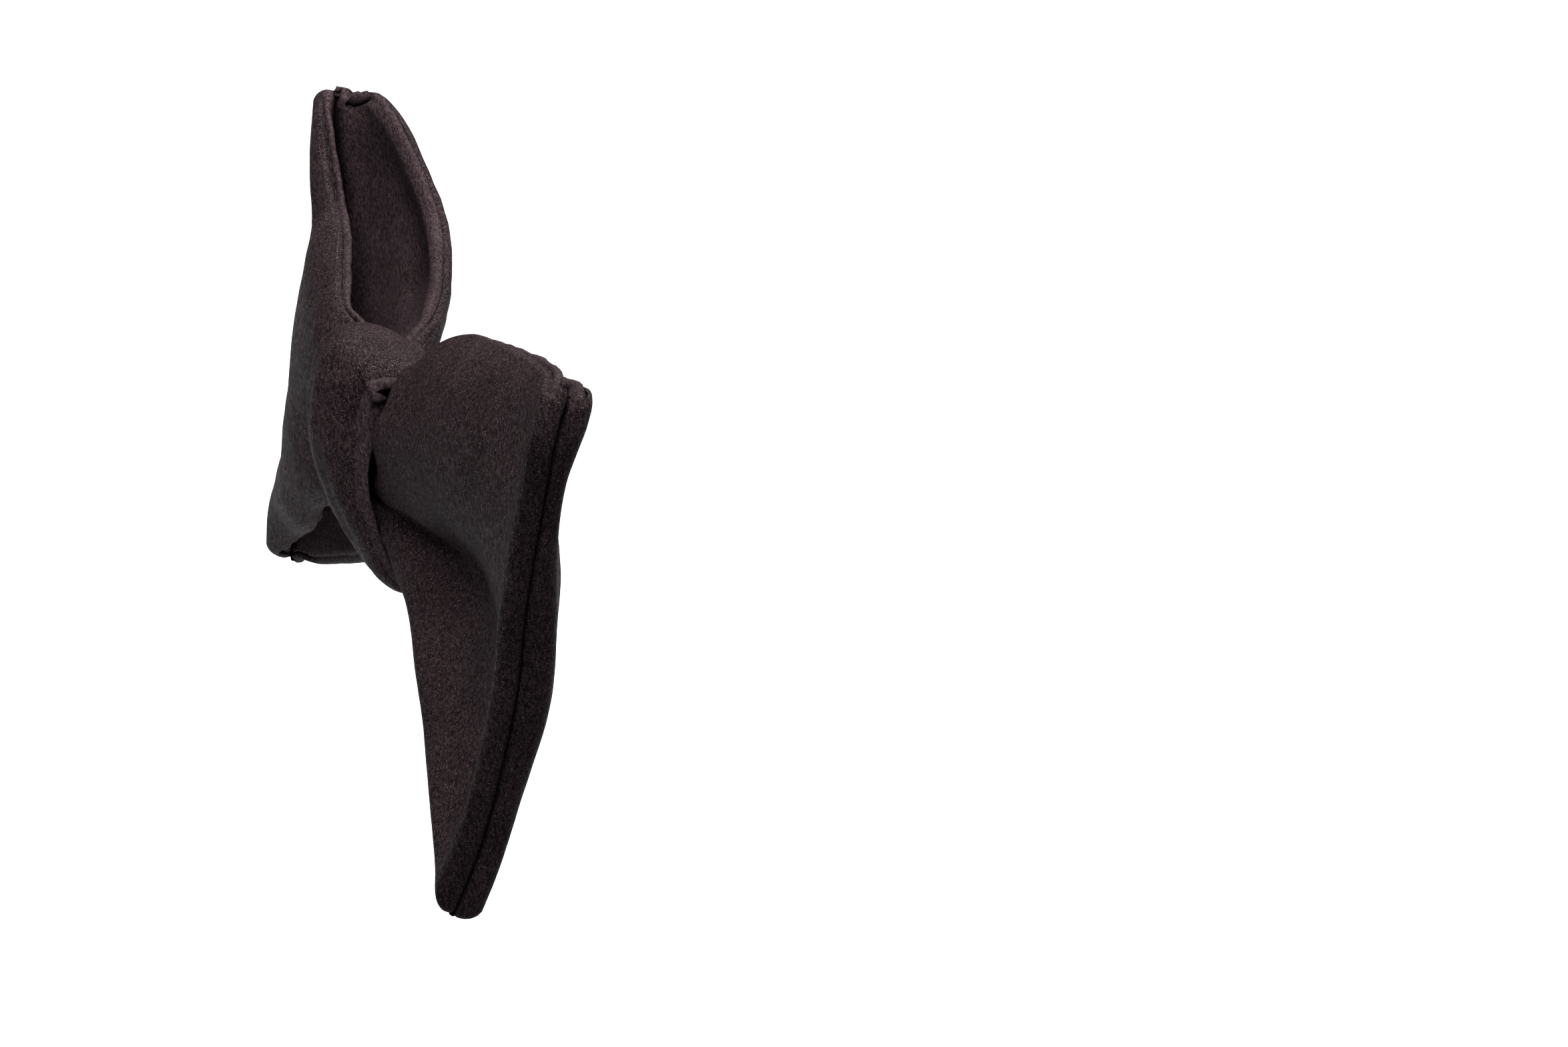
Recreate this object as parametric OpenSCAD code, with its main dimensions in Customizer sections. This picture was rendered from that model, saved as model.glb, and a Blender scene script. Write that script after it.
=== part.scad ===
// Clip-on dress bow tie: two padded satin plies, pinched by a wrapped knot, on a sprung two-jaw clip.
// The front of the bow faces -Y, +Z is up, and the origin is the middle of the clip's collar face.

/* [Bow] */
// Width of the bow from corner to corner
bow_w = 112; // [100:1:124]
// Height of the top corners above the middle of the knot
top_h = 30; // [26:0.5:32]
// Depth of the bottom tips below the middle of the knot
tip_h = 32; // [28:0.5:36]
// Height of the pinched middle above and below the knot's centre
pinch_h = 10; // [9:0.5:11]
// Distance that the wings' ends stand behind the middle of the knot
wing_back = 5; // [3:0.5:6]
// Lean of the wings towards the collar, per millimetre of height
lean = 0.145; // [0.05:0.005:0.2]
// How far the front ply's upper lobe swells forwards
front_swell = 6; // [4:0.5:8]
// How far the back ply swells towards the wearer
back_swell = 10; // [8:0.5:12]

/* [Cloth] */
// Thickness of one padded ply
ply_t = 3; // [2.5:0.1:3.2]
// Thickness of one satin panel
satin_t = 0.45; // [0.35:0.05:0.5]
// Thickness of the sewing thread
thread_d = 0.3; // [0.25:0.05:0.35]
// Distance between stitches
stitch_pitch = 4; // [3:0.5:6]

/* [Knot] */
// Width of the band that wraps the knot
knot_w = 16; // [14:0.5:18]
// Thickness of each of the wrap's three layers
wrap_t = 0.7; // [0.6:0.05:0.8]
// Number of turns of binding thread under the wrap
binding_turns = 4; // [2:1:5]

/* [Clip] */
// Length of the clip's base plate
base_l = 56; // [52:1:58]
// Height of the clip's base plate
base_h = 10; // [9.6:0.2:10.4]
// Thickness of the stamped steel
steel_t = 0.8; // [0.7:0.05:0.9]
// Distance of each hinge pin from the middle
hinge_x = 14; // [13.5:0.25:15]
// Diameter of the hinge pins
pin_d = 1.2; // [1:0.1:1.3]
// Width of each jaw
jaw_w = 7.4; // [7:0.1:7.6]
// Number of notches in each jaw's tip
notches = 3; // [2:1:4]

/* [Hidden] */

satin_colour = [0.11, 0.10, 0.11];
inner_colour = [0.16, 0.15, 0.16];
wadding_colour = [0.85, 0.84, 0.80];
thread_colour = [0.05, 0.05, 0.05];
steel_colour = [0.75, 0.76, 0.78];

// Where the clip stands, measured back from the middle of the knot
base_front_y = 9.4;
collar_y = base_front_y + steel_t;
pin_y = collar_y + 2.7;
pin_clearance = 0.05;
ear_clearance = 0.02;

// The grid of the satin panels
wing_steps = 16;
height_steps = 10;

function clamp(x, low, high) = min(max(x, low), high);
function ease(t) = let (c = clamp(t, 0, 1)) c * c * (3 - 2 * c);
function bell(x, middle, width) = exp(-pow((x - middle) / width, 2));
function power(x, n) = sign(x) * pow(abs(x), n);
function unit(v) = v / norm(v);

// Outline of a wing at the distance a from the middle
half_w = bow_w / 2;
knot_half = knot_w / 2;
top_bend = 3.6;
bottom_bend = 0.85;
end_hollow = 1.5;
function out_of_knot(a) = max(a - knot_half, 0) / (half_w - knot_half);
function top_z(a) = pinch_h + (top_h - pinch_h) * (1 - exp(-top_bend * out_of_knot(a))) / (1 - exp(-top_bend));
function bottom_z(a) = -pinch_h - (tip_h - pinch_h) * pow(out_of_knot(a), bottom_bend);
// The end edge is hollow, so both corners stand further out than its middle
function end_x(v) = half_w - end_hollow * (1 - v * v);

// Mid-plane between the two plies: it leans, and its bottom tips curl forwards
curl = 0.0165;
curl_below = -12;
function end_y(z) = wing_back + lean * z - curl * pow(max(curl_below - z, 0), 2);
function plane_y(a, z) = ease((a - knot_half) / (half_w - knot_half)) * end_y(z);

// The swell of a wing, nothing at the knot and at the end
swell_from = 6;
swell_to = half_w - 1;
function swell(a) = pow(sin(180 * clamp((a - swell_from) / (swell_to - swell_from), 0, 1)), 0.8);
// The clip presses a pocket into the back of the bow, close to the knot
pocket_depth = 0.8;
pocket_half_h = 6;
pocket_half_w = 30;
function pocket(a, z) = pocket_depth * (1 - ease((abs(z) - pocket_half_h) / 5)) * (1 - ease((a - pocket_half_w) / 8));
pinch_reach = 13;
function pinch(a) = 1 - ease(a / pinch_reach);
// Half the ply's thickness: the two satin panels meet at its edges
edge_power = 10;
function edge_round(s) = 1 - pow(abs(s), edge_power);
// The knot squeezes the padding of the pinched middle
squeeze = 0.45;
function squeezed(a) = 1 - squeeze * pinch(a);
function half_t(u, v) = satin_t
    + (ply_t / 2 * squeezed(abs(u) * half_w) - satin_t) * sqrt(edge_round(u) * edge_round(v));
// Distance of each ply's middle surface from the mid-plane: the plies touch along the wings' ends
seam_gap = 0.15;
pleat_room = 0.9;
pleat_wave = 0.6;
function shut_gap(u, a, v) = half_t(u, 0) + seam_gap + pinch(a) * (pleat_room - pleat_wave * cos(360 * v));
// The front ply swells over its upper half and again near its bottom, with a valley between
valley = 1.5;
low_swell = 3;
function front_gap(u, a, v) = shut_gap(u, a, v)
    + swell(a) * (front_swell * bell(v, 0.5, 0.42) + low_swell * bell(v, -0.6, 0.4) - valley * bell(v, -0.12, 0.18));
function back_gap(u, a, v, z) = shut_gap(u, a, v)
    + swell(a) * (1 - pocket(a, z)) * (back_swell * bell(v, 0.45, 0.45) + 0.5 * back_swell * bell(v, -0.65, 0.35));

// Middle surface of a ply: side is -1 in front and 1 behind, u runs from end to end, v from bottom to top
function ply_point(side, u, v) =
    let (a = abs(u) * end_x(v), low = bottom_z(a), high = top_z(a), z = (low + high) / 2 + v * (high - low) / 2)
    [sign(u) * a, plane_y(a, z) + (side < 0 ? -front_gap(u, a, v) : back_gap(u, a, v, z)), z];
function ply_normal(side, u, v) =
    let (e = 0.01, un = clamp(u, -1 + e, 1 - e), vn = clamp(v, -1 + e, 1 - e))
    side * unit(cross(ply_point(side, un, vn + e) - ply_point(side, un, vn - e),
                      ply_point(side, un + e, vn) - ply_point(side, un - e, vn)));
function layer_point(side, u, v, depth) = ply_point(side, u, v) + ply_normal(side, u, v) * depth;

// Triangles of a closed sheet of nu by nv cells, whose far face's points follow its near face's
function sheet_faces(nu, nv) =
    let (row = nv + 1, far = (nu + 1) * row)
    concat(
        [for (i = [0:nu - 1], j = [0:nv - 1]) each let (p = i * row + j) [[p, p + row, p + 1], [p + 1, p + row, p + row + 1]]],
        [for (i = [0:nu - 1], j = [0:nv - 1]) each let (p = far + i * row + j) [[p, p + 1, p + row], [p + 1, p + row + 1, p + row]]],
        [for (i = [0:nu - 1]) each let (p = i * row, q = p + far) [[p, q, p + row], [q, q + row, p + row]]],
        [for (i = [0:nu - 1]) each let (p = i * row + nv, q = p + far) [[p, p + row, q], [q, p + row, q + row]]],
        [for (j = [0:nv - 1]) each let (p = j, q = p + far) [[p, p + 1, q], [q, p + 1, q + 1]]],
        [for (j = [0:nv - 1]) each let (p = nu * row + j, q = p + far) [[p, q, p + 1], [q, q + 1, p + 1]]]
    );

// Steps crowd towards the edges, where the ply rounds over
function across(i, steps) = sin(90 * (2 * i / steps - 1));

// How deep a layer's two faces lie, measured from the ply's middle surface
wadding_play = 0.02;
function depths(part, u, v) =
    let (half = half_t(u, v))
    part == "outer" ? [half - satin_t, half]
    : part == "inner" ? [-half, satin_t - half]
    : [satin_t - half + wadding_play, half - satin_t - wadding_play];

// The wadding stops one step short of the panels, which meet beyond it
module ply_layer(side, part) {
    nu = 2 * wing_steps;
    nv = height_steps;
    inset = part == "wadding" ? 1 : 0;
    grid = [for (i = [inset:nu - inset], j = [inset:nv - inset]) [across(i, nu), across(j, nv)]];
    near = [for (g = grid) layer_point(side, g[0], g[1], depths(part, g[0], g[1])[0])];
    far = [for (g = grid) layer_point(side, g[0], g[1], depths(part, g[0], g[1])[1])];
    points = side < 0 ? concat(near, far) : concat(far, near);
    on_bow() polyhedron(points, sheet_faces(nu - 2 * inset, nv - 2 * inset), convexity = 6);
}

// Everything is drawn around the middle of the knot, then moved to the clip's collar face
module on_bow() { translate([0, -collar_y, 0]) children(); }

module front_outer_panel() { color(satin_colour) ply_layer(-1, "outer"); }
module front_wadding() { color(wadding_colour) ply_layer(-1, "wadding"); }
module front_inner_panel() { color(inner_colour) ply_layer(-1, "inner"); }
module back_inner_panel() { color(inner_colour) ply_layer(1, "inner"); }
module back_wadding() { color(wadding_colour) ply_layer(1, "wadding"); }
module back_outer_panel() { color(satin_colour) ply_layer(1, "outer"); }

// A short straight stitch
module stitch(from, to) {
    run = to - from;
    translate(from)
        rotate([0, acos(run[2] / norm(run)), atan2(run[1], run[0])])
            cylinder(d = thread_d, h = norm(run), $fn = 16);
}

// Stitches that close a ply along its top and bottom edges, just past the wadding
module ply_thread(side) {
    seam_v = 0.97;
    stitches_a_wing = floor((half_w - knot_half) / stitch_pitch) - 1;
    for (v = [-seam_v, seam_v], wing = [-1, 1], i = [1:stitches_a_wing]) {
        u = wing * (knot_half + i * stitch_pitch) / half_w;
        reach = half_t(u, v) - satin_t;
        on_bow() stitch(layer_point(side, u, v, -reach), layer_point(side, u, v, reach));
    }
}
module front_ply_thread() { color(thread_colour) ply_thread(-1); }
module back_ply_thread() { color(thread_colour) ply_thread(1); }

// Stitches along a wing's end, in the groove between the two plies
module end_seam(wing) {
    span = top_h + tip_h;
    count = floor(span / stitch_pitch) - 2;
    last_v = 0.86;
    seam_u = 0.985;
    for (i = [0:count - 1]) {
        v = last_v * (2 * i / (count - 1) - 1);
        front = layer_point(-1, wing * seam_u, v, -half_t(seam_u, v));
        back = layer_point(1, wing * seam_u, v, -half_t(seam_u, v));
        on_bow() stitch(front, back);
    }
}
module left_end_seam() { color(thread_colour) end_seam(1); }
module right_end_seam() { color(thread_colour) end_seam(-1); }

// Outline of the pinched middle in the YZ plane at the angle t, grown by g; its lower front draws back
bundle_front = 6.1;
bundle_back = 5.7;
bundle_up = 14.2;
front_crown = 0.12;
top_crown = 0.1;
draw = 0.01;
draw_below = 4;
function loop_point(t, g, x) =
    let (c = cos(t), s = sin(t), from_middle = pow(x / knot_half, 2),
         crown = 1 - front_crown * from_middle,
         z = (bundle_up + g) * power(s, 0.9) * (1 - top_crown * from_middle),
         draw_in = draw * pow(min(z - draw_below, 0), 2) * abs(c))
    [x, c < 0 ? (bundle_front + g) * crown * power(c, 0.8) + draw_in : (bundle_back + g) * power(c, 0.7), z];

// Triangles of a closed band: rings across it, each with n points, outside first
function band_faces(rings, n) =
    let (far = rings * n)
    concat(
        [for (i = [0:rings - 2], j = [0:n - 1]) each let (k = (j + 1) % n, p = i * n)
            [[p + j, p + k, p + n + j], [p + k, p + n + k, p + n + j]]],
        [for (i = [0:rings - 2], j = [0:n - 1]) each let (k = (j + 1) % n, p = far + i * n)
            [[p + j, p + n + j, p + k], [p + k, p + n + j, p + n + k]]],
        [for (j = [0:n - 1]) each let (k = (j + 1) % n) [[j, far + j, k], [k, far + j, far + k]]],
        [for (j = [0:n - 1]) each let (k = (j + 1) % n, p = (rings - 1) * n, q = far + p)
            [[p + j, p + k, q + j], [p + k, q + k, q + j]]]
    );

module wrap_layer(width, inside, thickness) {
    rings = 9;
    round_steps = 40;
    layers = [for (g = [inside + thickness, inside], i = [0:rings - 1], j = [0:round_steps - 1])
        loop_point(360 * j / round_steps, g, width * (i / (rings - 1) - 0.5))];
    on_bow() polyhedron(layers, band_faces(rings, round_steps), convexity = 4);
}

binding_room = 0.6;
layer_gap = 0.05;
module knot_under_wrap() { color(inner_colour) wrap_layer(knot_w + 0.8, binding_room, wrap_t); }
module knot_interlining() {
    color(wadding_colour) wrap_layer(knot_w - 1.2, binding_room + wrap_t + layer_gap, wrap_t - layer_gap);
}
module knot_band() { color(satin_colour) wrap_layer(knot_w, binding_room + 2 * wrap_t + layer_gap, wrap_t); }

// Triangles of a round bar swept through rings of n points, with flat ends
function bar_faces(rings, n) = concat(
    [for (i = [0:rings - 2], j = [0:n - 1]) each let (k = (j + 1) % n, p = i * n)
        [[p + j, p + n + j, p + k], [p + k, p + n + j, p + n + k]]],
    [for (j = [1:n - 2]) [0, j, j + 1]],
    [for (j = [1:n - 2]) let (p = (rings - 1) * n) [p, p + j + 1, p + j]]
);

// Turns of thread that hold the pleats, each a flat closed ring round the pinched middle
module binding_thread() {
    turn_pitch = 1.1;
    ring_steps = 40;
    color(thread_colour)
        for (i = [0:binding_turns - 1]) {
            x = turn_pitch * (i - (binding_turns - 1) / 2);
            rings = [for (g = [0.5, 0.1], side = [-0.2, 0.2], j = [0:ring_steps - 1])
                loop_point(360 * j / ring_steps, g, x) + [side, 0, 0]];
            on_bow() polyhedron(rings, band_faces(2, ring_steps), convexity = 4);
        }
}

// Hand stitches that close the wrap behind the knot
module knot_closing_stitches() {
    back = bundle_back + binding_room + 3 * wrap_t + layer_gap;
    color(thread_colour)
        for (z = [-8:2:8])
            on_bow() stitch([-0.9, back + 0.1, z - 0.5], [0.9, back + 0.1, z + 0.5]);
}

hole_d = 1.2;
hole_x = 5;
hole_z = 3.2;
ear_l = 5;
ear_top_r = 2;

// One ear of the base plate, standing on its edge, with the hinge pin's hole
module ear() {
    difference() {
        union() {
            translate([-ear_l / 2, collar_y - 0.1, 0]) cube([ear_l, pin_y - collar_y + 0.1, steel_t]);
            translate([0, pin_y, 0]) cylinder(r = ear_l / 2, h = steel_t, $fn = 48);
        }
        translate([0, pin_y, -1]) cylinder(d = pin_d + 2 * ear_clearance, h = steel_t + 2, $fn = 48);
    }
}

module clip_base() {
    color(steel_colour) on_bow() {
        difference() {
            translate([-base_l / 2, base_front_y, -base_h / 2]) cube([base_l, steel_t, base_h]);
            for (x = [-hole_x, hole_x], z = [-hole_z, hole_z])
                translate([x, base_front_y - 1, z]) rotate([-90, 0, 0]) cylinder(d = hole_d, h = steel_t + 2, $fn = 32);
            // Clipped corners
            for (x = [-1, 1], z = [-1, 1])
                translate([x * base_l / 2, base_front_y - 1, z * base_h / 2]) rotate([0, 45, 0])
                    cube([3, 8, 3], center = true);
        }
        for (x = [-hinge_x, hinge_x], z = [-base_h / 2, base_h / 2 - steel_t]) translate([x, 0, z]) ear();
    }
}

// Thread loops that sew the base plate to the back of the knot
module clip_base_stitches() {
    loop_d = 0.5;
    root_y = bundle_back + binding_room + 2.5 * wrap_t;
    bar_y = collar_y + loop_d / 2;
    color(thread_colour) on_bow()
        for (x = [-hole_x, hole_x]) {
            for (z = [-hole_z, hole_z])
                translate([x, root_y, z]) rotate([-90, 0, 0]) cylinder(d = loop_d, h = bar_y - root_y, $fn = 16);
            translate([x, bar_y, -hole_z - loop_d / 2]) cylinder(d = loop_d, h = 2 * hole_z + loop_d, $fn = 16);
        }
}

head_r = 1;
head_t = 0.4;
module hinge_pin(wing) {
    color(steel_colour) on_bow() translate([wing * hinge_x, pin_y, 0]) {
        cylinder(d = pin_d, h = base_h + 2 * head_t, center = true, $fn = 48);
        for (end = [-1, 1])
            translate([0, 0, end * (base_h + head_t + 0.04) / 2]) cylinder(r = head_r, h = head_t, center = true, $fn = 48);
    }
}
module left_hinge_pin() { hinge_pin(1); }
module right_hinge_pin() { hinge_pin(-1); }

knuckle_r = 1.7;
knuckle_t = 0.7;
tab_rise = 3.4;
tip_gap = 0.35;
// Side view of a jaw from its thumb tab to its tip, around its pin
jaw_profile = [
    [-6.4, tab_rise], [-1.8, 1.6], [1.8, 1.6], [11.8, -0.9], [13.4, collar_y + tip_gap - pin_y],
    [14.1, collar_y + tip_gap - pin_y], [12.4, -0.9 + steel_t], [2, 1.6 + steel_t], [-1.6, 1.6 + steel_t],
    [-6.1, tab_rise + steel_t]
];

module right_hand_jaw() {
    difference() {
        union() {
            linear_extrude(jaw_w, center = true) polygon(jaw_profile);
            // The thumb tab ends in a rolled lip
            translate([-6.3, tab_rise + steel_t / 2, 0]) cylinder(r = 0.65, h = jaw_w, center = true, $fn = 32);
            for (end = [-1, 1]) translate([0, 0, end * (jaw_w - knuckle_t) / 2]) {
                cylinder(r = knuckle_r, h = knuckle_t, center = true, $fn = 48);
                translate([-1.2, 0, -knuckle_t / 2]) cube([2.4, 1.8, knuckle_t]);
            }
        }
        cylinder(d = pin_d + 2 * pin_clearance, h = base_h, center = true, $fn = 48);
        // Notches between the teeth
        for (i = [1:notches])
            translate([13.8, -2, jaw_w * (i / (notches + 1) - 0.5)]) rotate([90, 0, 0])
                cylinder(r = 0.8, h = 3, center = true, $fn = 4);
    }
}
module jaw(wing) {
    color(steel_colour) on_bow() translate([wing * hinge_x, pin_y, 0])
        mirror([wing < 0 ? 1 : 0, 0, 0]) right_hand_jaw();
}
module left_jaw() { jaw(1); }
module right_jaw() { jaw(-1); }

// A torsion spring round the pin, with one leg on the base plate and one under the thumb tab
wire_d = 0.5;
coil_r = 0.98;
coil_turns = 4;
coil_h = 4.4;
function spring_path() = concat(
    [[-5, 0.45 - (pin_y - collar_y), -coil_h / 2], [-2.5, -1.5, -coil_h / 2]],
    [for (i = [0:12 * coil_turns + 6])
        let (t = 30 * i, turn = -90 + t) [coil_r * cos(turn), coil_r * sin(turn), -coil_h / 2 + coil_h * t / (360 * coil_turns + 180)]],
    [[-2.6, 1.35, coil_h / 2], [-4.6, 2.25, coil_h / 2]]
);
function ring_at(p, ahead, n) =
    let (d = unit(ahead), side = unit(cross(d, [0, 0, 1])), up = cross(side, d))
    [for (j = [0:n - 1]) p + wire_d / 2 * (cos(360 * j / n) * side + sin(360 * j / n) * up)];
module spring(wing) {
    path = spring_path();
    last = len(path) - 1;
    sides = 8;
    rings = [for (i = [0:last]) each ring_at(path[i], path[min(i + 1, last)] - path[max(i - 1, 0)], sides)];
    color(steel_colour) on_bow() translate([wing * hinge_x, pin_y, 0])
        mirror([wing < 0 ? 1 : 0, 0, 0]) polyhedron(rings, bar_faces(last + 1, sides), convexity = 8);
}
module left_spring() { spring(1); }
module right_spring() { spring(-1); }

front_outer_panel();
front_wadding();
front_inner_panel();
back_inner_panel();
back_wadding();
back_outer_panel();
front_ply_thread();
back_ply_thread();
left_end_seam();
right_end_seam();
binding_thread();
knot_under_wrap();
knot_interlining();
knot_band();
knot_closing_stitches();
clip_base();
clip_base_stitches();
left_hinge_pin();
right_hinge_pin();
left_jaw();
right_jaw();
left_spring();
right_spring();
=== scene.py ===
"""A clip-on dress bow tie in padded black satin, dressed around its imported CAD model.

Shapes are worked out in millimetres around the middle of the knot, with the front of the bow towards -Y,
and turned into metres around the clip's collar face, which is the frame's origin, as each mesh is made.
"""
import math
import bpy
import numpy as np
from mathutils import Matrix, Vector


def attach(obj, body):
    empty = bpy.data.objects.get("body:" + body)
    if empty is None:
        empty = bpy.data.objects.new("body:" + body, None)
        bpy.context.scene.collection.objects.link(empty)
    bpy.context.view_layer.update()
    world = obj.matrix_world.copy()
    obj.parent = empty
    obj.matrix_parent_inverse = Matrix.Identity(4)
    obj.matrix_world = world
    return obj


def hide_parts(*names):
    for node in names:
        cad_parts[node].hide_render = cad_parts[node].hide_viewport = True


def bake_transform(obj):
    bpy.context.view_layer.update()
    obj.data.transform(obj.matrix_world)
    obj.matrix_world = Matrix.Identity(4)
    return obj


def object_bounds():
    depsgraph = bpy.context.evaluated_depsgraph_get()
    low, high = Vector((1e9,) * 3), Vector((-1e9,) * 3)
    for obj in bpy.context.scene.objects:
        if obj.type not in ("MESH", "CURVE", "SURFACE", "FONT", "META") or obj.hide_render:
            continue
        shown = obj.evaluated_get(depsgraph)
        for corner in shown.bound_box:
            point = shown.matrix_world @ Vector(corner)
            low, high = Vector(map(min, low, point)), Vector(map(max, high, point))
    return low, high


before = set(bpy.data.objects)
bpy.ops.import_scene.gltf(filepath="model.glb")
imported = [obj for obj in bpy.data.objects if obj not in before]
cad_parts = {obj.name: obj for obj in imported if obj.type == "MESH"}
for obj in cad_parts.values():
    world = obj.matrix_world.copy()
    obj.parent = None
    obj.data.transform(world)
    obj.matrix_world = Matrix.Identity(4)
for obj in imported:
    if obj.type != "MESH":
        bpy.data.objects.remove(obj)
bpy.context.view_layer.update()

MM = 0.001
KNOT_TO_COLLAR = 10.2          # from the middle of the knot back to the clip's collar face
SEED = 7

# ---------------------------------------------------------------- splines and noise


def hermite(knots, values, at):
    """A smooth curve through values at the knots, read at the places in at. Axis 0 of values is the knots."""
    knots = np.asarray(knots, float)
    slope = np.empty_like(values)
    gap = knots[1:] - knots[:-1]
    tail = (1,) * (values.ndim - 1)
    slope[1:-1] = (values[2:] - values[:-2]) / (knots[2:] - knots[:-2]).reshape((-1,) + tail)
    slope[0] = (values[1] - values[0]) / gap[0]
    slope[-1] = (values[-1] - values[-2]) / gap[-1]
    i = np.clip(np.searchsorted(knots, at) - 1, 0, len(knots) - 2)
    h = gap[i]
    t = np.clip((at - knots[i]) / h, 0, 1)

    def pick(a, k):
        return np.take_along_axis(a, k[None], 0)[0] if a.ndim == k.ndim + 1 else a[k]

    return (
        (2 * t**3 - 3 * t**2 + 1) * pick(values, i) + (t**3 - 2 * t**2 + t) * h * pick(slope, i)
        + (3 * t**2 - 2 * t**3) * pick(values, i + 1) + (t**3 - t**2) * h * pick(slope, i + 1)
    )


def ease(t):
    """Rises smoothly from 0 to 1 as t does."""
    t = np.clip(t, 0, 1)
    return t * t * (3 - 2 * t)


def bell(x, middle, width):
    """A smooth bump, 1 high at its middle."""
    return np.exp(-(((x - middle) / width) ** 2))


def ripple(points, size, seed, waves=14):
    """Smooth noise of about -1 to 1, whose bumps are about size millimetres apart."""
    rng = np.random.default_rng(SEED * 1000 + seed)
    total = np.zeros(points.shape[:-1])
    for _ in range(waves):
        way = rng.normal(size=3)
        way /= np.linalg.norm(way)
        pitch = size * rng.uniform(0.7, 1.5)
        total += np.sin(points @ way * (2 * math.pi / pitch) + rng.uniform(0, 2 * math.pi))
    return total / math.sqrt(waves)


# ---------------------------------------------------------------- the two plies

HALF_W = 56.0                  # from the middle to a wing's corners
KNOT_HALF = 8.0                # half the width of the knot's wrap
SATIN_T = 0.35                 # thickness of the cloth
SEWN_FROM = 53.6               # the two plies are sewn flat together from here out to the end
FRONT_R, BACK_R = 1.5, 1.3     # half a ply's thickness
SEAM_SLACK = 0.04              # between the plies' hollow sides where their ends are sewn together
CORNER_R = 1.6                 # of a wing's corners
END_BOWED = 1.5                # a wing's end is this much shorter at its middle than at its corners
CORNERS_APART = 62.0           # a wing's height
KNOT_SQUEEZE = 0.4             # share of the plies' thickness that the knot takes away
SQUARED_OVER = 5.0             # over this far from an end the plies' edges are pressed flat together,
SQUARED = 0.8                  # and at the end they have lost this share of their roundness
FULLER_FROM, FULLEST_AT = 40, 54       # where along the near wing the back ply's end grows fuller

# Each ply's middle surface: at each distance along the bow, points (y, z) from its top edge to its bottom.
# The near wing, at +X, is shut along its top; the far wing gapes, and its back ply stands well back.
FRONT = {
    -50: [
        (4.7, 27.6), (3.8, 22.6), (4.4, 15.5), (3.8, 10), (2.8, 4), (1.4, -3), (-0.4, -10),
        (-2, -18), (-4, -25.6), (-4.9, -32.4),
    ],
    -40: [
        (3.9, 21), (2, 19), (1.6, 15), (0.4, 10), (-0.6, 4), (-1.4, -2), (-2.7, -8),
        (-3.7, -14), (-4.9, -20.6), (-3.3, -26),
    ],
    -30: [
        (2.8, 18.6), (0.1, 17.2), (-1.5, 13.5), (-2.8, 8.5), (-3.8, 3), (-4.4, -2), (-5.1, -7),
        (-5.7, -11.5), (-5.9, -16.48), (-3.48, -20.8),
    ],
    -20: [
        (0.6, 16.6), (-1.3, 15.4), (-3.4, 12), (-4.3, 7.5), (-4.5, 3), (-4.3, -0.5),
        (-4.6, -4), (-5.2, -7.5), (-5.38, -10.74), (-3.64, -13.8),
    ],
    -12: [
        (-0.8, 15), (-2.4, 13.6), (-3.7, 10.5), (-4, 6.5), (-3.2, 2.6), (-1.6, -0.4),
        (-1.9, -3), (-3.5, -5.6), (-3.7, -8), (-2.6, -10.6),
    ],
    -7: [
        (1.8, 12.2), (0.4, 11), (-0.8, 8.7), (-1.7, 5.9), (-1.9, 2.8), (-1.5, 0), (-1.5, -2.4),
        (-2, -4.8), (-1.8, -6.9), (-0.7, -8.8),
    ],
    0: [
        (0.8, 12.2), (-0.8, 11.2), (-2.8, 8.8), (-3.6, 5.8), (-3.2, 2.6), (-2, 0), (-2, -2.2),
        (-2.8, -4.6), (-2.3, -6.8), (-0.7, -8.8),
    ],
    7: [
        (3, 12.4), (1.8, 11.2), (0.2, 8.8), (-1.1, 5.9), (-1.6, 2.8), (-1.4, 0), (-1, -2.4),
        (-1.5, -4.8), (-1.3, -6.9), (-0.4, -8.8),
    ],
    12: [
        (5.3, 17.8), (2.8, 15.4), (0, 12.2), (-1.7, 7.6), (-1.6, 3), (-0.2, -0.3), (1.6, -2.4),
        (1.25, -4.6), (-0.2, -7.3), (-1.2, -10),
    ],
    20: [
        (7.6, 21.7), (4.4, 19), (1.2, 14.6), (-0.4, 9), (0, 3.6), (2.4, -0.3), (4.8, -2.4),
        (3.66, -5.2), (0.56, -8.76), (-1.6, -12.12),
    ],
    30: [
        (8.6, 24.3), (5.6, 21.2), (2.4, 16.8), (1, 11), (1.7, 5.4), (4.5, 0.6), (6.3, -2.4),
        (4.6, -6.6), (0.8, -11.8), (-2.8, -16.6),
    ],
    40: [
        (9.3, 26.4), (7.1, 23.2), (4.5, 18), (2.9, 11.6), (3.2, 5.4), (4.9, 0.4), (5.3, -4),
        (3.6, -9), (0.3, -15.4), (-4.3, -21.7),
    ],
    50: [
        (8.9, 28.4), (7.6, 24.6), (6.5, 18.8), (4.5, 12.2), (3.7, 5), (3.3, -2.5), (2.7, -9.5),
        (0.8, -17), (-2.4, -23.4), (-5.8, -28.6),
    ],
}
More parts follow.
